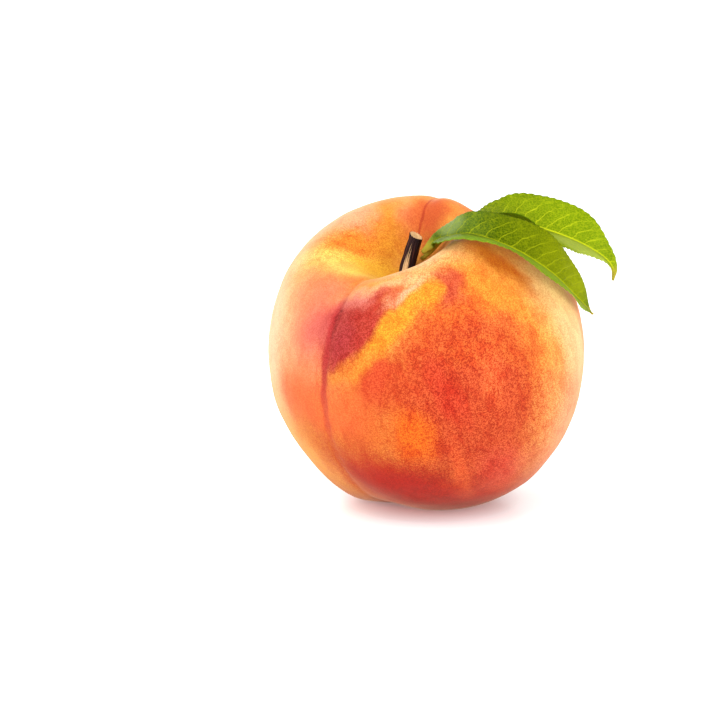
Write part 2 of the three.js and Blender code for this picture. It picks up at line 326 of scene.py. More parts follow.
def skin_points(polar, azimuth):
    """Points on the skin in millimetres, and the direction in the fruit's own frame that each stands for."""
    outward = towards(polar, azimuth)
    x = outward[..., 0]
    y = outward[..., 1]
    point = outward.copy()
    openness = (0.5 + 0.5 * np.cos(np.radians(azimuth - CAVITY_OPEN_TURN))) ** 2
    width = lerp(CAVITY["width"], CAVITY["open_width"], openness)
    power = lerp(CAVITY["power"], CAVITY["open_power"], openness)
    from_pit = np.hypot(x - CAVITY["offset"][0], y - CAVITY["offset"][1])
    pit = -CAVITY["depth"] * np.exp(-((from_pit / width) ** power))
    dimple = BLOSSOM_DIMPLE["depth"] * bell(np.hypot(x, y), 0, BLOSSOM_DIMPLE["width"])
    point[..., 2] += np.where(polar < 90, pit, dimple)
    rise = -suture_depth(polar, x, y)
    for compass, elevation, height, spread in SWELLINGS:
        middle = towards(90 - elevation, compass)
        angle = np.arccos(np.clip(outward @ (middle @ fruit_turn), -1, 1))
        rise = rise + height * bell(angle, 0, math.radians(spread))
    point = (point + outward * rise[..., None]) * FRUIT_RADIUS @ fruit_turn.T + FRUIT_CENTRE
    height = point[..., 2]
    bent = (height + REST_SOFTNESS) ** 2 / (4 * REST_SOFTNESS)
    point[..., 2] = np.where(height >= REST_SOFTNESS, height, np.where(height <= -REST_SOFTNESS, 0, bent))
    return point, outward


def make_skin():
    polar = 180 * np.arange(1, SKIN_RINGS + 1) / (SKIN_RINGS + 1)
    turn = 2 * np.pi * np.arange(SKIN_SIDES) / SKIN_SIDES
    azimuth = np.degrees(turn - SUTURE_CLUSTER * np.sin(turn))
    polar, azimuth = (grid.ravel() for grid in np.meshgrid(polar, azimuth, indexing="ij"))
    polar = np.append(polar, [0, 180])
    azimuth = np.append(azimuth, [0, 0])
    points, outward = skin_points(polar, azimuth)
    relief = sum(height * rough(points, size, seed) for height, size, seed in FLESH_LUMPS)
    # The skin puckers along the suture.
    y = outward[:, 1]
    on_line = bell(y, 0, PUCKER_WIDTH) * (outward[:, 0] > 0)
    on_line = on_line * smoothstep(polar, *PUCKER_BEGIN) * (1 - smoothstep(polar, *PUCKER_END))
    laid_flat = np.stack([polar, y, y], axis=-1) * PUCKER_STEPS
    relief = relief + PUCKER_RELIEF * on_line * rough(laid_flat, *PUCKER_NOISE)
    relief = relief * smoothstep(points[:, 2], *LOWEST_LUMPS)
    points = points + (outward @ fruit_turn.T) * relief[:, None]
    return make_piece("peach_skin", points, ring_faces(SKIN_RINGS, SKIN_SIDES), {"place": outward})


# ---- Stem ----

BARK_RINGS = 90
BARK_SIDES = 72
CUT_RINGS = 8
RIDGE_HEIGHT = 0.06  # this and the two grooves' heights are shares of the stem's radius
GROOVE_HEIGHTS = (0.035, 0.02)
CUT_BEGIN = 0.93  # share of the stem's length where it starts to slant towards the cut end
TORN_HEIGHT = 0.18
PITH_DEPTH = 0.25
WOOD_SHARE = 0.3  # how far in from the bark the pith begins


def make_stem():
    route = Route([STEM_FOOT - fruit_axis * STEM_ROOT_DEPTH, *STEM_ROUTE])
    share = np.linspace(0, 1, BARK_RINGS)
    on = route.along(share)
    side = unit(np.cross(on, (0, 1, 0)))
    other = np.cross(on, side)
    points, bark = [], []
    turn = -2 * np.pi * np.arange(BARK_SIDES) / BARK_SIDES
    cosine = np.cos(turn)
    sine = np.sin(turn)
    for ring in range(BARK_RINGS + CUT_RINGS):
        # The last rings lie on the cut end, each one further in.
        row = min(ring, BARK_RINGS - 1)
        reached = share[row]
        inset = max(0, ring - BARK_RINGS + 1) / (CUT_RINGS + 1)
        ridge = RIDGE_HEIGHT * np.sin(3 * turn + 4 * reached) * np.cos(5 * turn)
        wavy = GROOVE_HEIGHTS[0] * np.sin(17 * turn + 3 * np.sin(9 * reached))
        straight = GROOVE_HEIGHTS[1] * np.sin(31 * turn - 5 * reached)
        radius = lerp(*STEM_RADII, reached) * (1 + ridge + (wavy + straight)) * (1 - inset)
        around = cosine[:, None] * side[row] + sine[:, None] * other[row]
        here = route.at(reached) + radius[:, None] * around
        cut = route.at(1)[2] - (here[:, :2] - route.at(1)[:2]) @ STEM_CUT_FALL
        torn = TORN_HEIGHT * np.sin(23 * turn) * np.cos(7 * turn) * (1 - inset)
        torn = torn - PITH_DEPTH * (inset > WOOD_SHARE)
        here[:, 2] = lerp(here[:, 2], cut + torn, smoothstep(reached, CUT_BEGIN, 1))
        points.append(here)
        bark.append(np.stack([cosine, sine, np.full(BARK_SIDES, reached + inset)], axis=-1))
    points = np.concatenate(points + [route.at([0]), points[-1].mean(0)[None]])
    bark = np.concatenate(bark + [[(0, 0, 0)], [(0, 0, 2)]])
    return make_piece("stem_bark", points, ring_faces(BARK_RINGS + CUT_RINGS, BARK_SIDES), {"bark": bark})


# ---- Leaves ----

STEPS_A_TOOTH = 6
STALK_STEP = 0.4
BLADE_COLUMNS = 49
VEIN_PITCH = 3.6
VEIN_SLANT = 0.62  # how far a side vein runs on for each millimetre out
VEIN_CURVE = 0.45  # how much further it runs on at the margin, as a share of the half width
PUFF_HEIGHT = 0.16
# Where the puffs begin and are full, and where they fade and end, as shares of the half width, and the half
# widths where they begin and are full.
PUFF_INNER = (0.02, 0.2)
PUFF_OUTER = (0.8, 1)
PUFFED = (1, 4)
GROOVE_DEPTH = 0.16
GROOVE_WIDTH = 0.3
GROOVE_FADE_FROM = 0.4  # share of the leaf's length
TOOTHED_EDGE = 0.2  # share of the half width that follows the teeth
EDGE_THINNING = 0.45
BELLY = 0.3  # how much the blade arches up between the midrib and the margin
WAVES = 3.5  # waves of the margin from base to tip, and how far one margin's run ahead of the other's
WAVE_SKEW = 0.2
FOLD_SHARPNESS = 12
STALK_ROUNDNESS = 0.97
STALK_TOP = 0.8  # the stalk is a little flat above


def leaf_shape(leaf, share):
    """The middle of the leaf at shares along it, with its directions, widths and fold there."""
    route = Route(leaf["route"])
    place = route.at(share)
    on = route.along(share)
    up = place - FRUIT_CENTRE
    up = unit(up - on * np.sum(up * on, axis=1, keepdims=True))
    up = rotate_about(up, on, np.radians(read_along(leaf["rolls"], share)))
    far = np.cross(up, on)
    petiole = leaf["petiole_share"]
    blade = smoothstep(share, petiole, petiole + BLADE_BEGIN)
    outline = np.maximum(read_along(leaf["half_widths"], share), lerp(PETIOLE_RADIUS, LEAST_HALF, blade))
    # Each tooth leans towards the tip: a long rise and a short fall.
    teeth = round((1 - petiole) * route.length / TOOTH_PITCH)
    at_tooth = (share - petiole) / (1 - petiole) * teeth % 1
    rise = (at_tooth / TOOTH_TOP) ** TOOTH_BULGE
    fall = (1 - at_tooth) / (1 - TOOTH_TOP)
    tooth = np.where(at_tooth < TOOTH_TOP, rise, fall) * (share > petiole) * (share < 1)
    half = outline + TOOTH_HEIGHT * tooth * smoothstep(outline, *TOOTHED)
    fold = np.radians(read_along(leaf["folds"], share)) * blade
    return place, on, up, far, blade, outline, half, fold


def side_vein(along, width, outline):
    """0 to 1 from one side vein to the next. They leave the midrib at a slant and curve on to the tip."""
    out = np.abs(width)
    swept = along - out * VEIN_SLANT - VEIN_CURVE * out**2 / np.maximum(outline, 1)
    return (swept / VEIN_PITCH + 0.5 * (width > 0)) % 1


def sheet_faces(rows, columns):
    """Quads for an upper and a lower sheet of points and for the margin that joins them."""
    sheet = rows * columns
    faces = []
    for row in range(rows - 1):
        for column in range(columns - 1):
            here = row * columns + column
            beside = here + 1
            ahead = here + columns
            across = ahead + 1
            faces.append((here, ahead, across, beside))
            faces.append((sheet + here, sheet + beside, sheet + across, sheet + ahead))
    margin = list(range(columns)) + [row * columns + columns - 1 for row in range(1, rows)]
    margin += [(rows - 1) * columns + column for column in range(columns - 2, -1, -1)]
    margin += [row * columns for row in range(rows - 2, 0, -1)]
    for here, after in zip(margin, margin[1:] + margin[:1]):
        faces.append((here, after, sheet + after, sheet + here))
    return faces


def make_leaf(name, leaf):
    petiole = leaf["petiole_share"]
    length = Route(leaf["route"]).length
    steps = STEPS_A_TOOTH * round((1 - petiole) * length / TOOTH_PITCH)
    stalk_steps = max(4, int(petiole * length / STALK_STEP))
    share = np.concatenate([np.linspace(0, petiole, stalk_steps)[:-1], np.linspace(petiole, 1, steps + 1)])
    place, on, up, far, *spans = leaf_shape(leaf, share)
    share, across = np.meshgrid(share, np.linspace(-1, 1, BLADE_COLUMNS), indexing="ij")
    place, on, up, far = (np.repeat(rows[:, None], BLADE_COLUMNS, axis=1) for rows in (place, on, up, far))
    blade, outline, half, fold = (np.repeat(rows[:, None], BLADE_COLUMNS, axis=1) for rows in spans)
    out = np.abs(across)
    edge = np.maximum(out - (1 - TOOTHED_EDGE), 0) / TOOTHED_EDGE
    width = across * lerp(outline, half, edge)
    lift = outline * np.sin(fold) * out * (1 + BELLY * (1 - out))
    wave = leaf["wave"] * blade * out**2 * np.sin(2 * np.pi * (WAVES * share + WAVE_SKEW * across))
    # The blade puffs up a little between its side veins.
    from_vein = 0.5 - np.abs(side_vein(share * length, width, outline) - 0.5)
    inside = smoothstep(out, *PUFF_INNER) * (1 - smoothstep(out, *PUFF_OUTER)) * smoothstep(outline, *PUFFED)
    puff = PUFF_HEIGHT * blade * from_vein * inside
    middle = place + far * (width * np.cos(fold))[..., None] + up * (lift + wave + puff)[..., None]
    normal = rotate_about(up, on, fold * np.clip(across * FOLD_SHARPNESS, -1, 1))
    # The stalk is round. The blade is thin, with a rib below its middle and a groove above it near the base.
    stalk = PETIOLE_RADIUS * np.sqrt(1 - (STALK_ROUNDNESS * across) ** 2)
    thin = BLADE_THICKNESS / 2 * (1 - EDGE_THINNING * out**6)
    rib = RIB_DEPTH * bell(width, 0, RIB_WIDTH) * (1 - RIB_TAPER * smoothstep(share, RIB_TAPER_FROM, 1))
    groove = GROOVE_DEPTH * bell(width, 0, GROOVE_WIDTH) * (1 - smoothstep(share, GROOVE_FADE_FROM, 1))
    top = middle + normal * lerp(stalk * STALK_TOP, thin - groove, blade)[..., None]
    bottom = middle - normal * lerp(stalk, thin + rib, blade)[..., None]
    points = np.concatenate([top.reshape(-1, 3), bottom.reshape(-1, 3)])
    flat = np.stack([share * length, width, outline], axis=-1).reshape(-1, 3)
    attributes = {
        "blade": np.concatenate([flat, flat]),
        "page": np.repeat([1.0, -1.0], share.size),
        "share": np.tile(share.ravel(), 2),
    }
    return make_piece(name, points, sheet_faces(*share.shape), attributes)


# ---- Colours and nodes ----


def colour(code):
    """A linear colour from an sRGB hex value."""
    parts = [int(code[i : i + 2], 16) / 255 for i in (1, 3, 5)]
    linear = [part / 12.92 if part <= 0.04045 else ((part + 0.055) / 1.055) ** 2.4 for part in parts]
    return (*linear, 1)


def add(tree, kind, links=None, **settings):
    """Adds a node. `links` maps an input's name or number to a socket or a value. Settings are properties."""
    node = tree.nodes.new("ShaderNode" + kind)
    for key, value in settings.items():
        setattr(node, key, value)
    for key, value in (links or {}).items():
        socket = node.inputs[key]
        if isinstance(value, bpy.types.NodeSocket):
            tree.links.new(value, socket)
        else:
            socket.default_value = value
    return node


def new_material(name):
    material = bpy.data.materials.new(name)
    material.use_nodes = True
    tree = material.node_tree
    tree.nodes.clear()
    return material, tree


# ---- Fruit skin: ripe peach skin, grown, under a short felt of hairs ----

# The felt scatters the light at glancing angles: the skin looks matt and powdery, its edges turn pale, and it
# has no sharp highlight. The pale edges and rim are helped by painted sheen and painted highlight patches.
# The blush is pigment in fine specks over yellow flesh, so it ends in a soft grain.

# Soft patches of colour, laid on in this order. Some of them are painted light and shade, as marked on their
# rows: painted sheen and highlight at the edges and rim, painted light and painted shadow beside the leaf,
# and painted contact shade at the foot. Each one: polar and azimuth of its middle, the turn of its long axis
# from the way to the blossom end towards rising azimuth, half length, half width, how soft its edge is, how
# far the stipple breaks it, strength, colour. Angles are in degrees.
PATCHES = [
    (88, 178, 10, 52, 26, 0.4, 0.5, 0.85, "#e4603a"),  # far side blush
    (70, -150, 20, 26, 14, 0.5, 0.5, 0.8, "#cf4a40"),  # far side crimson
    (78, -70, -10, 34, 9, 0.5, 0.4, 0.6, "#f0804c"),  # left tongue
    (80, 125, 8, 40, 12, 0.5, 0.5, 0.7, "#ee7440"),  # right tongue
    (152, 30, 0, 44, 40, 0.5, 0.4, 0.9, "#a81a0a"),  # blossom end
    (18, -135, -102, 18, 7, 0.6, 0.3, 0.9, "#e67034"),  # crown
    (30, -102, 60, 20, 9, 0.8, 0.1, 0.7, "#fcc296"),  # pale crown edge: painted sheen along the fruit's edge
    (22, -178, -166, 8, 6, 0.6, 0.3, 0.9, "#d85e30"),  # crown beside the far crease
    (19, -70, 44, 13, 5, 0.6, 0.8, 0.8, "#f09026"),  # spotted bank of the cavity
    (21, -36, -45, 23, 6, 0.8, 0.1, 0.9, "#ffea6c"),  # light band in the cavity
    (8, -90, 120, 30, 5, 0.7, 0.3, 0.9, "#e69a28"),  # cavity floor
    (13, -33, 13, 8, 6, 0.6, 0.1, 0.7, "#ffc838"),  # yellow pocket
    (33, -17, -45, 13, 6, 0.8, 0.5, 0.85, "#f48348"),  # cavity slope
    (53, -18, 12, 25, 10, 0.8, 0.2, 0.8, "#f99a6c"),  # left flank
    (63, -43, 34, 25, 15, 0.8, 0.1, 0.85, "#fedfb4"),  # pale left edge: painted sheen along the fruit's edge
    (77, 63, -10, 42, 23, 0.4, 0.5, 0.8, "#ea8436"),  # right flank
    (52, 56, -77, 15, 7, 0.6, 0.7, 0.8, "#ee8424"),  # amber front
    (81, 52, -6, 34, 30, 0.4, 0.5, 0.9, "#d2502c"),  # blush
    (69, 24, -74, 14, 9, 0.5, 0.4, 0.85, "#d65628"),  # left blush
    (65, 22, -10, 8, 7, 0.6, 0.6, 0.7, "#de502c"),  # low blush
    (85, 15, 74, 10, 9, 0.6, 0.6, 0.8, "#e0682a"),  # orange low on the left
    (66, 68, -114, 18, 5, 0.6, 0.6, 0.7, "#e06e2c"),  # upper blush
    (75, 48, 15, 13, 4, 0.7, 0.5, 0.7, "#d8442a"),  # rose cloud
    (75, 65, -10, 8, 4, 0.8, 0.4, 0.6, "#f67e41"),  # light window
    (88, 33, -175, 10, 7, 0.6, 0.5, 0.9, "#f6781a"),  # gold window
    (120, 29, 54, 51, 15, 0.6, 0.7, 0.9, "#c42414"),  # underside
    (128, 29, 50, 35, 7, 0.7, 0.3, 0.9, "#a00c06"),  # painted contact shade at the foot, where the fruit meets the ground
    (111, 24, 47, 17, 10, 0.7, 0.6, 0.85, "#b4120a"),  # deep red
    (109, 46, -180, 13, 3, 0.7, 0.4, 0.8, "#f06a34"),  # ember stripe
    (114, 62, 112, 9, 11, 0.6, 0.6, 0.8, "#e0503c"),  # lower rose
    (111, 105, -19, 26, 21, 0.7, 0.3, 0.8, "#f8aa80"),  # right limb: painted sheen along the fruit's edge
    (80, 112, 9, 21, 11, 0.8, 0.2, 0.9, "#ffdca0"),  # pale gold: painted sheen along the edge, and painted light lifting the leaf's shade
    (66, 112, 15, 13, 7, 0.9, 0.2, 0.9, "#ffd890"),  # gold by the leaf: painted light lifting the leaf's shade
    (49, 83, 26, 12, 5, 0.8, 0.4, 0.7, "#f49c30"),  # gold under the leaf
    (77, -3, -2, 10, 20, 0.6, 0.3, 0.8, "#f06a38"),  # foot of the suture
    (50, -4, 12, 15, 11, 0.9, 0.3, 0.95, "#ea7868"),  # rose left of the suture
    (40, 8, 121, 18, 4, 0.6, 0.3, 0.9, "#df6a5e"),  # crimson lip
    (50, 14, 144, 19, 8, 0.45, 0.4, 0.95, "#c43c36"),  # crimson shoulder
    (51, 4, 5, 10, 7, 0.8, 0.3, 0.85, "#b83c40"),  # crimson by the suture
    (36, 44, 110, 9, 2, 0.7, 0.4, 0.8, "#f8b890"),  # rim blush
    (48, 33, 132, 20, 4, 0.6, 0.2, 0.95, "#efa62a"),  # yellow streak
    (62, 14, 119, 10, 3, 0.6, 0.3, 0.8, "#f79a36"),  # yellow below the crimson
    (36, 11, 114, 7, 3, 0.9, 0.3, 0.75, "#e88a7c"),  # pink rim: painted highlight on the rim's crest
    (31, 35, -90, 16, 2, 0.8, 0.1, 0.7, "#fbc48a"),  # pale rim: painted highlight along the rim's crest
    (23, 63, 75, 12, 7, 0.9, 0.1, 0.7, "#fdd9a0"),  # painted highlight on the rim below the stem
    (40, 66, -25, 7, 5, 0.5, 0.6, 0.9, "#cc5438"),  # small red patch
    (40, 56, -23, 6, 3, 0.6, 0.2, 0.8, "#f3a428"),  # yellow beside it
    (44, 100, 5, 16, 4, 0.7, 0.5, 0.9, "#cc6a0a"),  # painted shadow of the front leaf on the shoulder
]

# The studio is bright, so each pigment is laid at this share of its full strength.
PIGMENT_SHARE = 0.6

# Where the dark specks are thickest, each written as a patch is, without its colour.
SPECKLED = [
    (86, 58, 0, 50, 36, 0.6, 0, 0.65),  # sunny side
    (50, 14, 144, 20, 10, 0.6, 0, 0.5),  # crimson shoulder
    (19, -70, 44, 18, 9, 0.8, 0, 0.35),  # bank of the cavity
]

PATCH_DEPTH = 1.6  # how far a patch reaches down into the fruit, so that it stays on its own side
# How far the patches' edges wander from side to side along X, Y and Z, as shares of the fruit's radius.
WANDER = (0.18, 0.18, 0.18)
TONGUE_WIDTH = 5.571
TONGUE_STRETCH = (1, 1, 0.45)  # the tongues are drawn out along the stem axis
GROUND_SIZE = 13
CLOUD_SIZE = 3
CLOUDS_EVERYWHERE = 0.25  # how strong the clouds of red are off the sunny side
# The real specks are about 0.2 mm apart, too fine to show, so both kinds are drawn coarser.
SPECK_PITCH = 0.34
FLECK_PITCH = 0.52
FLECKS_EVERYWHERE = 0.3  # how strong the dark flecks are off the sunny side

# Where the suture puckers just below the cavity's rim, written as a patch is, without its colour.
PUCKER = (45, 1.5, 0, 12, 2.2, 0.9, 0.5, 0.75)
FOLD_PITCH = 1.1
FOLD_RELIEF = -5.0  # height of the folds against the specks'

# The red lines waver from side to side by this share of the radius, over this many millimetres.
WAVER = 0.035
WAVER_PITCH = 3.25

# Red lines along the fruit. Each one: direction across it, half width, where it starts and is full along X,
# where it is full and where it ends in height, strength, colour. Lengths are shares of the fruit's radius.
SUTURE_LINES = [
    ((0, 1, 0), 0.036, 0.52, 0.7, 0.4, -0.2, 0.8, "#bc3234"),
    ((math.sin(-FAR_LINE_TURN), math.cos(FAR_LINE_TURN), 0), 0.014, -0.12, -0.2, 0.8, 0.6, 0.7, "#b83c20"),
]


def pigment(code):
    """The colour that the skin needs to look like `code` under this studio's bright light."""
    return (*(part * PIGMENT_SHARE for part in colour(code)[:3]), 1)


def patch_mask(tree, spot, stipple, polar, azimuth, turn, length, width, soft, broken, strength):
    """`strength` inside an ellipse on the skin. `soft` is the share of its radius that its rim fades over."""
    middle = Vector(towards(polar, azimuth))
    south = Vector(towards(polar + 90, azimuth))
    east = middle.cross(south)
    turn = math.radians(turn)
    long_way = south * math.cos(turn) + east * math.sin(turn)
    axes = Matrix((long_way, middle.cross(long_way), middle)).transposed()
    sizes = (math.sin(math.radians(length)), math.sin(math.radians(width)), PATCH_DEPTH)
    local = add(tree, "Mapping", {
        "Vector": spot, "Location": middle, "Rotation": axes.to_euler(), "Scale": sizes,
    }, vector_type="TEXTURE")
    away = add(tree, "VectorMath", {0: local.outputs[0]}, operation="LENGTH").outputs["Value"]
    away = add(tree, "Math", {0: stipple, 1: -broken, 2: away}, operation="MULTIPLY_ADD").outputs[0]
    mask = add(tree, "MapRange", {
        "Value": away, "From Min": 1 + soft, "From Max": 1 - soft, "To Max": strength,
    }, interpolation_type="SMOOTHSTEP")
    return mask.outputs[0]


def peach_skin_material():
    material, tree = new_material("peach skin, ripe and downy")
    place = add(tree, "Attribute", attribute_name="place").outputs["Vector"]
    in_space = add(tree, "TexCoord").outputs["Object"]

    # The patches' edges wander, in tongues that run from stem to blossom end.
    tongues = add(tree, "Mapping", {"Vector": place, "Scale": TONGUE_STRETCH}).outputs[0]
    wander = add(tree, "TexNoise", {
        "Vector": tongues, "Scale": FRUIT_RADIUS / TONGUE_WIDTH, "Detail": 4, "Roughness": 0.5,
    }).outputs["Color"]
    wander = add(tree, "VectorMath", {0: wander, 1: (0.5, 0.5, 0.5)}, operation="SUBTRACT").outputs[0]
    spot = add(tree, "VectorMath", {0: wander, 1: WANDER, 2: place}, operation="MULTIPLY_ADD").outputs[0]

    # The blush is laid in fine specks, a third of a millimetre from one to the next.
    specks = add(tree, "TexNoise", {
        "Vector": in_space, "Scale": 1 / (SPECK_PITCH * MM), "Detail": 2, "Roughness": 0.6,
    }).outputs[0]
    stipple = add(tree, "Math", {0: specks, 1: 0.5}, operation="SUBTRACT").outputs[0]
    sunny = 0.0
    for row in SPECKLED:
        mask = patch_mask(tree, spot, stipple, *row)
        sunny = add(tree, "Math", {0: mask, 1: sunny}, operation="MAXIMUM").outputs[0]

    # Each layer: its share, its colour, and how it goes over what is below.
    ground = add(tree, "TexNoise", {
        "Vector": place, "Scale": FRUIT_RADIUS / GROUND_SIZE, "Detail": 3,
    }).outputs[0]
    layers = [(ground, pigment("#f69c33"), "MIX")]
    layers += [(patch_mask(tree, spot, stipple, *row[:-1]), pigment(row[-1]), "MIX") for row in PATCHES]

    # Clouds of deeper red, 3 mm wide and twice as long, mostly on the sunny side.
    cloud = add(tree, "TexNoise", {
        "Vector": tongues, "Scale": FRUIT_RADIUS / CLOUD_SIZE,
        "Detail": 4, "Roughness": 0.6, "Distortion": 0.6,
    }).outputs[0]
    cloud = add(tree, "MapRange", {
        "Value": cloud, "From Min": 0.44, "From Max": 0.66, "To Max": 0.85,
    }, interpolation_type="SMOOTHSTEP").outputs[0]
    some = add(tree, "Math", {0: sunny, 1: CLOUDS_EVERYWHERE}, operation="ADD").outputs[0]
    cloud = add(tree, "Math", {0: cloud, 1: some}, operation="MULTIPLY").outputs[0]
    layers.append((cloud, colour("#e8a498"), "MULTIPLY"))

    # The suture is a red line down the near side, and there is a fine one down the far wall of the cavity.
    parts = add(tree, "SeparateXYZ", {0: place}).outputs
    waver = add(tree, "TexNoise", {
        "Vector": place, "Scale": FRUIT_RADIUS / WAVER_PITCH, "Detail": 4,
    }).outputs[0]
    waver = add(tree, "Math", {0: waver, 1: 0.5}, operation="SUBTRACT").outputs[0]
    for direction, width, start, end, top, bottom, strength, code in SUTURE_LINES:
        beside = add(tree, "VectorMath", {0: place, 1: direction}, operation="DOT_PRODUCT").outputs["Value"]
        beside = add(tree, "Math", {0: waver, 1: WAVER, 2: beside}, operation="MULTIPLY_ADD").outputs[0]
        beside = add(tree, "Math", {0: beside}, operation="ABSOLUTE").outputs[0]
        line = add(tree, "MapRange", {
            "Value": beside, "From Min": width, "From Max": 0.25 * width, "To Max": strength,
        }, interpolation_type="SMOOTHSTEP").outputs[0]
        reach = add(tree, "MapRange", {"Value": parts[0], "From Min": start, "From Max": end}).outputs[0]
        line = add(tree, "Math", {0: line, 1: reach}, operation="MULTIPLY").outputs[0]
        height = add(tree, "MapRange", {"Value": parts[2], "From Min": bottom, "From Max": top}).outputs[0]
        line = add(tree, "Math", {0: line, 1: height}, operation="MULTIPLY").outputs[0]
        layers.append((line, pigment(code), "MIX"))

    # Fine dark flecks over everything, thickest on the sunny side.
    thick = add(tree, "Math", {0: sunny, 1: FLECKS_EVERYWHERE}, operation="ADD").outputs[0]
    dark = add(tree, "TexNoise", {
        "Vector": in_space, "Scale": 1 / (FLECK_PITCH * MM), "Detail": 2, "Distortion": 0.4,
    }).outputs[0]
    dark = add(tree, "Math", {0: dark, 1: 0.5}, operation="SUBTRACT").outputs[0]
    dark = add(tree, "Math", {0: dark}, operation="ABSOLUTE").outputs[0]
    dark = add(tree, "MapRange", {"Value": dark, "From Min": 0.1, "From Max": 0.01},
               interpolation_type="SMOOTHSTEP").outputs[0]
    dark = add(tree, "Math", {0: dark, 1: thick}, operation="MULTIPLY").outputs[0]
    layers.append((dark, colour("#bc7a5e"), "MULTIPLY"))

    # The skin is drawn into small folds where the suture puckers, and the folds are darkened as painted
    # shade.
    pucker = patch_mask(tree, place, stipple, *PUCKER)
    folds = add(tree, "TexNoise", {
        "Vector": in_space, "Scale": 1 / (FOLD_PITCH * MM), "Detail": 3, "Distortion": 1.0,
    }).outputs[0]
    folds = add(tree, "Math", {0: folds, 1: pucker}, operation="MULTIPLY").outputs[0]
    # The crease share is painted shade in the folds.
    crease = add(tree, "MapRange", {"Value": folds, "From Min": 0.3, "From Max": 0.5}).outputs[0]
    layers.append((crease, colour("#a86c72"), "MULTIPLY"))

    paint = pigment("#fbb650")
    for share, tone, blend in layers:
        paint = add(tree, "Mix", {0: share, "A": paint, "B": tone},
                    data_type="RGBA", blend_type=blend).outputs[2]

    shader = add(tree, "BsdfPrincipled", {
        "Base Color": paint, "Roughness": 0.65, "IOR": 1.4, "Specular IOR Level": 0.1,
        "Sheen Weight": 0.22, "Sheen Roughness": 0.38, "Sheen Tint": colour("#ffe6c4"),
        "Subsurface Weight": 0.08, "Subsurface Radius": (1.0, 0.35, 0.12), "Subsurface Scale": 2 * MM,
    })
    relief = add(tree, "Math", {0: folds, 1: FOLD_RELIEF, 2: specks}, operation="MULTIPLY_ADD").outputs[0]
    bump = add(tree, "Bump", {"Height": relief, "Strength": 0.25, "Distance": 0.1 * MM})
    tree.links.new(bump.outputs[0], shader.inputs["Normal"])
    add(tree, "OutputMaterial", {"Surface": shader.outputs[0]})
    return material


# ---- Leaf blades: living peach leaf, grown, waxy above, paler and duller below ----

# The wax makes the upper page smooth and evenly green, with a faint soft shine. The blade is thin enough for
# light to come through it yellow-green, and its veins show as pale lines and a fine net of dimples.

# Sizes of the blade's patterns, in millimetres.
NET_PITCH = 0.6
NET_STIR = (0.9, 0.9, 0)  # how far the net is bent along and across
STIR_PITCH = 0.8333
VEIN_JITTER = 2.0  # how far a side vein is shifted along the leaf
JITTER_PITCH = 2.857
MOTTLE_PITCH = 3.333
GRAIN_PITCH = 0.1667

NET_SHARE = 0.55  # the net's strength as a share of the side veins'
MIDRIB_SHARES = (0.25, 0.85)  # the midrib's strength at the base and at the tip
LOWER_PAGE_SHARE = 0.75

# Height of the side veins, the net and the grain on the blade's surface, against each other.
VEIN_RELIEF = -0.6
NET_RELIEF = -0.4
GRAIN_RELIEF = 0.35


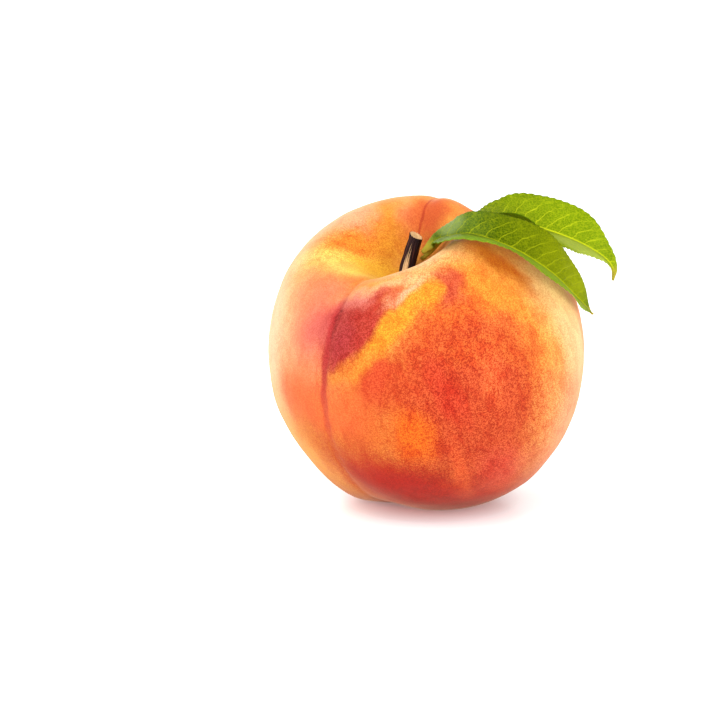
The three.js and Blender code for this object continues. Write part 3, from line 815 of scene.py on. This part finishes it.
def leaf_material(name, tones, spots, below, vein_code, vein_share, through, through_share, roughness):
    """`tones` are (share along the leaf, colour), the base and the tip first. Each of `spots` is a soft
    ellipse on the blade: millimetres along and across to its middle, half length, half width, strength,
    colour. `below` is the lower page's colour at the base and at the tip."""
    material, tree = new_material(name)
    blade = add(tree, "Attribute", attribute_name="blade").outputs["Vector"]
    page = add(tree, "Attribute", attribute_name="page").outputs["Fac"]
    share = add(tree, "Attribute", attribute_name="share").outputs["Fac"]
    along, width, outline = add(tree, "SeparateXYZ", {0: blade}).outputs
    flat = add(tree, "CombineXYZ", {0: along, 1: width}).outputs[0]

    # Side veins, about a quarter of a millimetre wide.
    out = add(tree, "Math", {0: width}, operation="ABSOLUTE").outputs[0]
    squared = add(tree, "Math", {0: out, 1: out}, operation="MULTIPLY").outputs[0]
    bend = add(tree, "Math", {0: squared, 1: outline}, operation="DIVIDE").outputs[0]
    slant = add(tree, "Math", {0: out, 1: -VEIN_SLANT, 2: along}, operation="MULTIPLY_ADD").outputs[0]
    swept = add(tree, "Math", {0: bend, 1: -VEIN_CURVE, 2: slant}, operation="MULTIPLY_ADD").outputs[0]
    jitter = add(tree, "TexNoise", {"Vector": blade, "Scale": 1 / JITTER_PITCH, "Detail": 2}).outputs[0]
    swept = add(tree, "Math", {0: jitter, 1: VEIN_JITTER, 2: swept}, operation="MULTIPLY_ADD").outputs[0]
    other_half = add(tree, "Math", {0: width, 1: 0.0}, operation="GREATER_THAN").outputs[0]
    count = add(tree, "Math", {0: swept, 1: 1 / VEIN_PITCH}, operation="MULTIPLY").outputs[0]
    count = add(tree, "Math", {0: other_half, 1: 0.5, 2: count}, operation="MULTIPLY_ADD").outputs[0]
    count = add(tree, "Math", {0: count, 1: 0.5}, operation="ADD").outputs[0]
    count = add(tree, "Math", {0: count}, operation="FRACT").outputs[0]
    count = add(tree, "Math", {0: count, 1: 0.5}, operation="SUBTRACT").outputs[0]
    from_vein = add(tree, "Math", {0: count}, operation="ABSOLUTE").outputs[0]
    vein = add(tree, "MapRange", {"Value": from_vein, "From Min": 0.07, "From Max": 0.01},
               interpolation_type="SMOOTHSTEP").outputs[0]
    reach = add(tree, "Math", {0: out, 1: outline}, operation="DIVIDE").outputs[0]
    fade = add(tree, "MapRange", {"Value": reach, "From Min": 0.95, "From Max": 0.5}).outputs[0]
    vein = add(tree, "Math", {0: vein, 1: fade}, operation="MULTIPLY").outputs[0]
    midrib = add(tree, "MapRange", {"Value": out, "From Min": 0.45, "From Max": 0.2},
                 interpolation_type="SMOOTHSTEP").outputs[0]

    # The net of small veins between them. The real one is finer than the 0.6 mm drawn here, which just shows.
    stir = add(tree, "TexNoise", {"Vector": flat, "Scale": 1 / STIR_PITCH, "Detail": 2}).outputs["Color"]
    bent = add(tree, "VectorMath", {0: stir, 1: NET_STIR, 2: flat}, operation="MULTIPLY_ADD").outputs[0]
    net = add(tree, "TexVoronoi", {"Vector": bent, "Scale": 1 / NET_PITCH},
              feature="DISTANCE_TO_EDGE").outputs[0]
    net = add(tree, "MapRange", {"Value": net, "From Min": 0.16, "From Max": 0.02},
              interpolation_type="SMOOTHSTEP").outputs[0]

    tone = add(tree, "ValToRGB", {0: share})
    stops = tone.color_ramp.elements
    for index, (place, code) in enumerate(tones):
        stop = stops[index] if index < 2 else stops.new(place)
        stop.position = place
        stop.color = colour(code)
    mottle = add(tree, "TexNoise", {
        "Vector": blade, "Scale": 1 / MOTTLE_PITCH, "Detail": 4, "Roughness": 0.6,
    }).outputs[0]
    mottle = add(tree, "MapRange", {
        "Value": mottle, "From Min": 0.4, "From Max": 0.7, "To Max": 0.8,
    }).outputs[0]
    layers = [(mottle, colour("#d2dcb8"), "MULTIPLY")]
    for spot_along, spot_across, length, half_width, strength, code in spots:
        local = add(tree, "Mapping", {
            "Vector": flat, "Location": (spot_along, spot_across, 0), "Scale": (length, half_width, 1),
        }, vector_type="TEXTURE").outputs[0]
        away = add(tree, "VectorMath", {0: local}, operation="LENGTH").outputs["Value"]
        mask = add(tree, "MapRange", {
            "Value": away, "From Min": 1.4, "From Max": 0.6, "To Max": strength,
        }, interpolation_type="SMOOTHSTEP").outputs[0]
        layers.append((mask, colour(code), "MIX"))
    fine = add(tree, "Math", {0: net, 1: NET_SHARE * vein_share}, operation="MULTIPLY").outputs[0]
    lines = add(tree, "Math", {0: vein, 1: vein_share}, operation="MULTIPLY").outputs[0]
    rib = add(tree, "MapRange", {
        "Value": share, "From Min": 0.28, "From Max": 0.45,
        "To Min": MIDRIB_SHARES[0], "To Max": MIDRIB_SHARES[1],
    }).outputs[0]
    rib = add(tree, "Math", {0: midrib, 1: rib}, operation="MULTIPLY").outputs[0]
    under = add(tree, "Math", {0: page, 1: 0.0}, operation="LESS_THAN").outputs[0]
    under = add(tree, "Math", {0: under, 1: LOWER_PAGE_SHARE}, operation="MULTIPLY").outputs[0]
    petiole = add(tree, "MapRange", {"Value": outline, "From Min": 1.8, "From Max": 0.8},
                  interpolation_type="SMOOTHSTEP").outputs[0]
    near_tip = add(tree, "MapRange", {"Value": share, "From Min": 0.5, "From Max": 0.8}).outputs[0]
    lower_page = add(tree, "Mix", {0: near_tip, "A": colour(below[0]), "B": colour(below[1])},
                     data_type="RGBA").outputs[2]
    layers += [
        (fine, colour(vein_code), "MIX"),
        (lines, colour(vein_code), "MIX"),
        (rib, colour(vein_code), "MIX"),
        (under, lower_page, "MIX"),
        (petiole, colour("#a89a34"), "MIX"),
    ]
    paint = tone.outputs[0]
    for amount, over, blend in layers:
        paint = add(tree, "Mix", {0: amount, "A": paint, "B": over},
                    data_type="RGBA", blend_type=blend).outputs[2]

    shader = add(tree, "BsdfPrincipled", {
        "Base Color": paint, "Roughness": roughness, "IOR": 1.45, "Specular IOR Level": 0.02,
    })
    relief = add(tree, "Math", {0: vein, 1: VEIN_RELIEF}, operation="MULTIPLY").outputs[0]
    relief = add(tree, "Math", {0: net, 1: NET_RELIEF, 2: relief}, operation="MULTIPLY_ADD").outputs[0]
    grain = add(tree, "TexNoise", {"Vector": blade, "Scale": 1 / GRAIN_PITCH, "Detail": 2}).outputs[0]
    relief = add(tree, "Math", {0: grain, 1: GRAIN_RELIEF, 2: relief}, operation="MULTIPLY_ADD").outputs[0]
    bump = add(tree, "Bump", {"Height": relief, "Strength": 0.5, "Distance": 0.14 * MM}).outputs[0]
    tree.links.new(bump, shader.inputs["Normal"])
    glow = add(tree, "BsdfTranslucent", {"Color": colour(through)})
    both = add(tree, "MixShader", {0: through_share, 1: shader.outputs[0], 2: glow.outputs[0]})
    add(tree, "OutputMaterial", {"Surface": both.outputs[0]})
    return material


# ---- Bark: dead twig bark of a fruit tree, weathered, peeling from pale wood ----

# Dry bark is matt, nearly black in its furrows and red-brown on its ridges. The bared wood is pale, with fine
# fibres.

FIBRES = (6, 6, 1.6)  # fibres in a radius across the stem, and in its whole length
WOOD_GRAIN = 0.5
# The bare strip is wide low down and runs out towards the top: shares of the length where it starts to narrow
# and stops, and how far round towards PEEL_SIDE its edge is at each.
PEEL_NARROWS = (0.5, 0.95)
PEEL_EDGE = (1.1, 1.26)
PEEL_RAGGED = 0.4


def bark_material():
    material, tree = new_material("twig bark, dry and peeling")
    bark = add(tree, "Attribute", attribute_name="bark").outputs["Vector"]
    spot = add(tree, "TexCoord").outputs["Object"]
    along = add(tree, "SeparateXYZ", {0: bark}).outputs[2]
    fibres = add(tree, "Mapping", {"Vector": bark, "Scale": FIBRES}).outputs[0]
    streak = add(tree, "TexNoise", {
        "Vector": fibres, "Scale": 1.0, "Detail": 6, "Roughness": 0.65,
    }).outputs[0]
    tone = add(tree, "ValToRGB", {0: streak})
    stops = tone.color_ramp.elements
    stops[0].position = 0.36
    stops[0].color = colour("#0c0508")
    stops[1].position = 0.7
    stops[1].color = colour("#52291c")
    stops.new(0.52).color = colour("#200d10")
    # The cut end and the strip where the bark has come away show pale wood.
    cut = add(tree, "MapRange", {"Value": along, "From Min": 1.0, "From Max": 1.04}).outputs[0]
    wood = add(tree, "TexNoise", {"Vector": spot, "Scale": 1 / (WOOD_GRAIN * MM), "Detail": 4}).outputs[0]
    wood = add(tree, "Mix", {0: wood, "A": colour("#e8c492"), "B": colour("#a8784a")},
               data_type="RGBA").outputs[2]
    side = add(tree, "VectorMath", {0: bark, 1: PEEL_SIDE}, operation="DOT_PRODUCT").outputs["Value"]
    side = add(tree, "Math", {0: streak, 1: PEEL_RAGGED, 2: side}, operation="MULTIPLY_ADD").outputs[0]
    edge = add(tree, "MapRange", {
        "Value": along, "From Min": PEEL_NARROWS[0], "From Max": PEEL_NARROWS[1],
        "To Min": PEEL_EDGE[0], "To Max": PEEL_EDGE[1],
    }).outputs[0]
    side = add(tree, "Math", {0: side, 1: edge}, operation="SUBTRACT").outputs[0]
    peel = add(tree, "MapRange", {"Value": side, "From Max": 0.05, "To Max": 0.9}).outputs[0]
    bare = add(tree, "Math", {0: peel, 1: cut}, operation="MAXIMUM").outputs[0]
    paint = add(tree, "Mix", {0: bare, "A": tone.outputs[0], "B": wood}, data_type="RGBA").outputs[2]
    shader = add(tree, "BsdfPrincipled", {
        "Base Color": paint, "Roughness": 0.7, "IOR": 1.45, "Specular IOR Level": 0.15,
    })
    bump = add(tree, "Bump", {"Height": streak, "Strength": 0.8, "Distance": 0.3 * MM}).outputs[0]
    tree.links.new(bump, shader.inputs["Normal"])
    add(tree, "OutputMaterial", {"Surface": shader.outputs[0]})
    return material


# ---- The pieces ----

peach_skin = make_skin()
peach_skin.data.materials.append(peach_skin_material())
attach(peach_skin, "root")
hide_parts("fruit")

stem_bark = make_stem()
stem_bark.data.materials.append(bark_material())
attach(stem_bark, "root")
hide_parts("stem")

front_blade = make_leaf("leaf_front_blade", LEAF_FRONT)
front_blade.data.materials.append(leaf_material(
    "peach leaf, full grown",
    tones=[
        (0.0, "#556c2f"), (1.0, "#4b6a0e"), (0.2, "#4a6526"),
        (0.4, "#435702"), (0.62, "#687403"), (0.85, "#848e06"),
    ],
    # The first spot, pale at the base of the blade, is a painted highlight of the wax's shine.
    spots=[(12, 3, 5, 3, 0.45, "#90a466"), (40, -6, 26, 3, 0.5, "#7fa42a")],
    below=("#6c9410", "#7c9a10"),
    vein_code="#b0b814",
    vein_share=0.4,
    through="#94a800",
    through_share=0.22,
    roughness=0.42,
))
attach(front_blade, "root")
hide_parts("leaf_front")

back_blade = make_leaf("leaf_back_blade", LEAF_BACK)
back_blade.data.materials.append(leaf_material(
    "peach leaf, young",
    tones=[(0.0, "#536905"), (1.0, "#788f18"), (0.3, "#536902"), (0.48, "#657b09"), (0.75, "#718a09")],
    # The two dark spots near the base are painted shade where the front leaf shades this blade, and the pale
    # spot near the tip is painted light on the curled tip.
    spots=[(26, 3, 8, 8, 0.5, "#56700a"), (20, 0, 8, 9, 0.7, "#445e02"), (55, -5, 12, 4, 0.6, "#a9b85a")],
    # The lower page is its own paler green, darkened at the base as painted shade and paled at the tip as
    # painted light.
    below=("#4c7c14", "#d4d69a"),
    vein_code="#c8d020",
    vein_share=0.55,
    through="#9cb000",
    through_share=0.3,
    roughness=0.45,
))
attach(back_blade, "root")
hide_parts("leaf_back")

# ---- Studio: a plain white sheet and soft light ----

# Cast acrylic, lit from below, gives the eye a plain white ground with one soft shadow and a faint
# reflection of the fruit.

FLOOR_HALF = 4000
# The sheet glows less under the fruit, which paints the contact shadow darker there, and near the fruit it is
# tinted red, a painted reflection of the fruit. Each reach is where the change begins and ends, out from the
# middle.
GLOW_REACH = (9, 25)
GLOW_STRENGTH = (0.15, 0.4)
PAINTED_RED_REACH = (12, 23)

# Each lamp: name, place, size across, power, tint.
LAMPS = [
    ("key", (-0.1, -0.25, 0.75), 0.5, 4.4, "#fffaf2"),
    ("right", (0.42, -0.66, 0.05), 0.35, 6.2, "#ffffff"),
    ("left", (-0.55, -0.5, 0.22), 0.5, 3.5, "#ffffff"),
    ("back", (-0.3, 0.7, 0.3), 0.5, 3.0, "#ffffff"),
]
SHOULDER_LAMP = ("shoulder", (0.6, -0.3, 0.42), 0.4, 3.6, "#fff0d8")
LAMPS_AIM = (0, 0, 0.04)
ROOM_LIGHT = 0.9


def make_floor():
    mesh = bpy.data.meshes.new("floor")
    half = FLOOR_HALF * MM
    corners = [(-half, -half, 0), (half, -half, 0), (half, half, 0), (-half, half, 0)]
    mesh.from_pydata(corners, [], [(0, 1, 2, 3)])
    floor = bpy.data.objects.new("floor", mesh)
    bpy.context.scene.collection.objects.link(floor)
    material, tree = new_material("white acrylic, cast")
    spot = add(tree, "TexCoord").outputs["Object"]
    away = add(tree, "VectorMath", {0: spot}, operation="LENGTH").outputs["Value"]
    glow = add(tree, "MapRange", {
        "Value": away, "From Min": GLOW_REACH[0] * MM, "From Max": GLOW_REACH[1] * MM,
        "To Min": GLOW_STRENGTH[0], "To Max": GLOW_STRENGTH[1],
    }).outputs[0]
    # Painted reflection: the sheet is tinted red near the fruit.
    painted_red_nearby = add(tree, "MapRange", {
        "Value": away, "From Min": PAINTED_RED_REACH[1] * MM, "From Max": PAINTED_RED_REACH[0] * MM,
    }).outputs[0]
    tint = add(tree, "Mix", {0: painted_red_nearby, "A": colour("#ededed"), "B": colour("#e87e6a")},
               data_type="RGBA").outputs[2]
    shader = add(tree, "BsdfPrincipled", {
        "Base Color": tint, "Roughness": 0.25, "Specular IOR Level": 0.5,
        "Emission Color": (1, 1, 1, 1), "Emission Strength": glow,
    })
    add(tree, "OutputMaterial", {"Surface": shader.outputs[0]})
    mesh.materials.append(material)


def add_lamp(name, place, size, power, tint):
    lamp = bpy.data.objects.new(name, bpy.data.lights.new(name, "AREA"))
    lamp.data.shape = "DISK"
    lamp.data.size = size
    lamp.data.energy = power
    lamp.data.color = colour(tint)[:3]
    lamp.location = place
    aim = Vector(LAMPS_AIM) - lamp.location
    lamp.rotation_euler = aim.to_track_quat("-Z", "Y").to_euler()
    bpy.context.scene.collection.objects.link(lamp)
    return lamp


def light_alone(lamp, piece):
    """The lamp lights this piece alone, and what lies over the piece throws no shade from it."""
    group = bpy.data.collections.new(lamp.name)
    group.objects.link(piece)
    lamp.light_linking.receiver_collection = group
    lamp.light_linking.blocker_collection = group


make_floor()
for row in LAMPS:
    add_lamp(*row)
light_alone(add_lamp(*SHOULDER_LAMP), peach_skin)
world = bpy.data.worlds.new("studio")
world.use_nodes = True
world.node_tree.nodes["Background"].inputs["Color"].default_value = (1, 1, 1, 1)
world.node_tree.nodes["Background"].inputs["Strength"].default_value = ROOM_LIGHT
bpy.context.scene.world = world
bpy.context.scene.view_settings.view_transform = "Standard"
